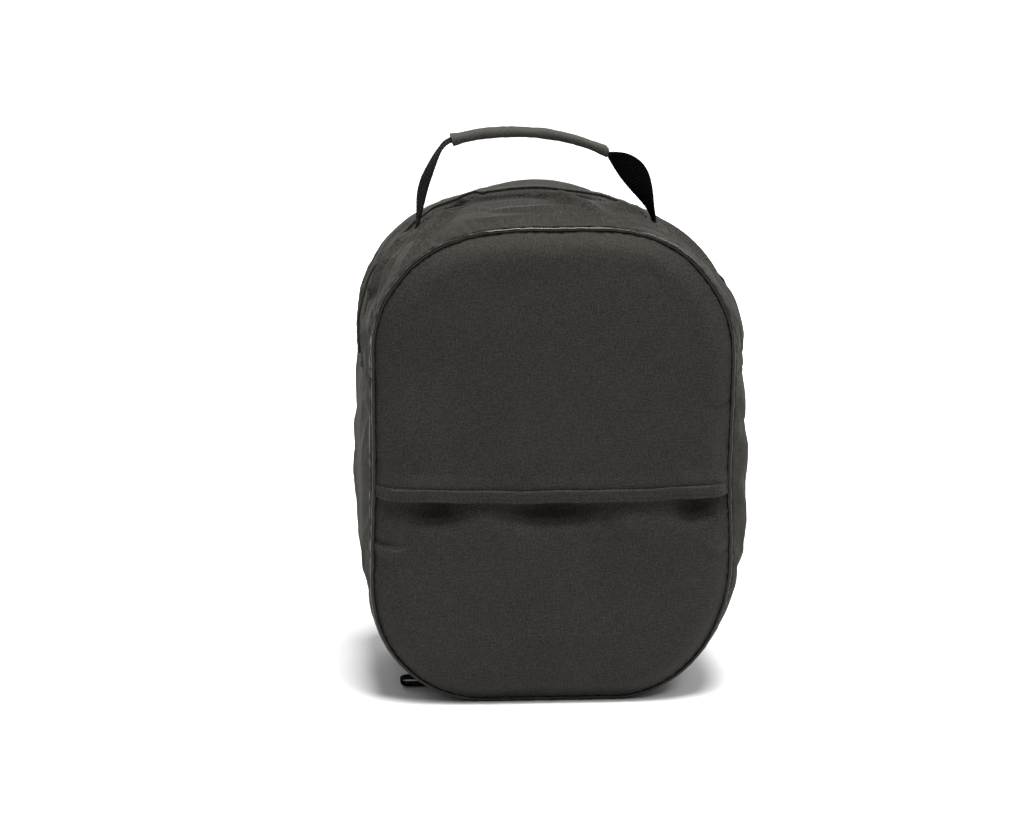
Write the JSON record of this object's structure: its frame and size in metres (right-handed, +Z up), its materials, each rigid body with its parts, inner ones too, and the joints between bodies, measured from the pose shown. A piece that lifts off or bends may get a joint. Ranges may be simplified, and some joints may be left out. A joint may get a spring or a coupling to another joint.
{
  "type": "shoe bag",
  "caption": "Upright shoe bag of woven cloth with a zipped fold-down lid, piped padded panels, a front pocket under a hemmed flap, a webbing carry handle and a pull loop.",
  "frame": {"origin": "middle of the underside, on the surface that the bag stands on", "axes": "+Z up, -Y is the front with the pocket, +X is to the right seen from the front"},
  "size_m": [0.2885, 0.158, 0.4251],
  "materials": {
    "shell_cloth": "woven polyester",
    "lining": "plain woven lining",
    "foam": "closed-cell foam",
    "board": "matte board",
    "piping": "satin coated piping",
    "webbing": "ribbed woven webbing",
    "binding": "woven binding tape",
    "zip_tape": "woven zip tape",
    "zip_teeth": "nylon coil",
    "zip_metal": "dark lacquered"
  },
  "bodies": {
    "bag": {"rear_panel": "shell_cloth", "front_panel_lower": "shell_cloth", "pocket_front": "shell_cloth", "base_gusset": "shell_cloth", "rear_gusset": "shell_cloth", "zip_flap_rear": "shell_cloth", "zip_end_tab_left": "shell_cloth", "zip_end_tab_right": "shell_cloth", "rear_lining": "lining", "front_lining_lower": "lining", "rear_foam_board": "foam", "front_foam_lower": "foam", "base_board": "board", "piping_front_lower": "piping", "piping_rear": "piping", "binding_front_lower": "binding", "binding_rear": "binding", "side_seam_tape_left": "binding", "side_seam_tape_right": "binding", "zip_tape_rear": "zip_tape", "zip_teeth_rear": "zip_teeth", "zip_stop_left": "zip_metal", "zip_stop_right": "zip_metal"},
    "lid": {"lid_panel": "shell_cloth", "lid_foam": "foam", "lid_lining": "lining", "lid_gusset": "shell_cloth", "zip_flap_front": "shell_cloth", "zip_tape_front": "zip_tape", "zip_teeth_front": "zip_teeth", "piping_lid": "piping", "binding_lid": "binding", "handle_foot_left": "webbing", "handle_foot_right": "webbing"},
    "carry_handle": {"handle_webbing": "webbing", "grip_sleeve": "shell_cloth"},
    "slider": {"zip_slider": "zip_metal"},
    "puller": {"zip_puller": "zip_metal"},
    "flap": {"pocket_flap": "shell_cloth"},
    "loop": {"pull_loop": "webbing"}
  },
  "joints": [
    {"name": "lid_fold", "type": "hinge", "parent": "bag", "child": "lid", "pos_m": [0, -0.0793, 0.25], "axis": [1, 0, 0], "range_deg": [0, 105]},
    {"name": "zip_slider_travel", "type": "hinge", "parent": "bag", "child": "slider", "pos_m": [0.047, -0.004, 0.26751], "axis": [0, -1, 0], "range_deg": [0, 54]},
    {"name": "zip_puller_flip", "type": "hinge", "parent": "slider", "child": "puller", "pos_m": [0.14365, -0.004, 0.27342], "axis": [0, -1, 0], "range_deg": [0, 170]},
    {"name": "handle_fold", "type": "hinge", "parent": "lid", "child": "carry_handle", "pos_m": [-0.0975, -0.0175, 0.35032], "axis": [0.9988, 0, 0.0491], "range_deg": [-54, 62]},
    {"name": "pocket_flap_lift", "type": "hinge", "parent": "bag", "child": "flap", "pos_m": [0, -0.0775, 0.182], "axis": [-1, 0, 0], "range_deg": [0, 40]},
    {"name": "pull_loop_swing", "type": "hinge", "parent": "bag", "child": "loop", "pos_m": [-0.0795, -0.036, 0.003], "axis": [0, 1, 0], "range_deg": [-100, 12]}
  ]
}
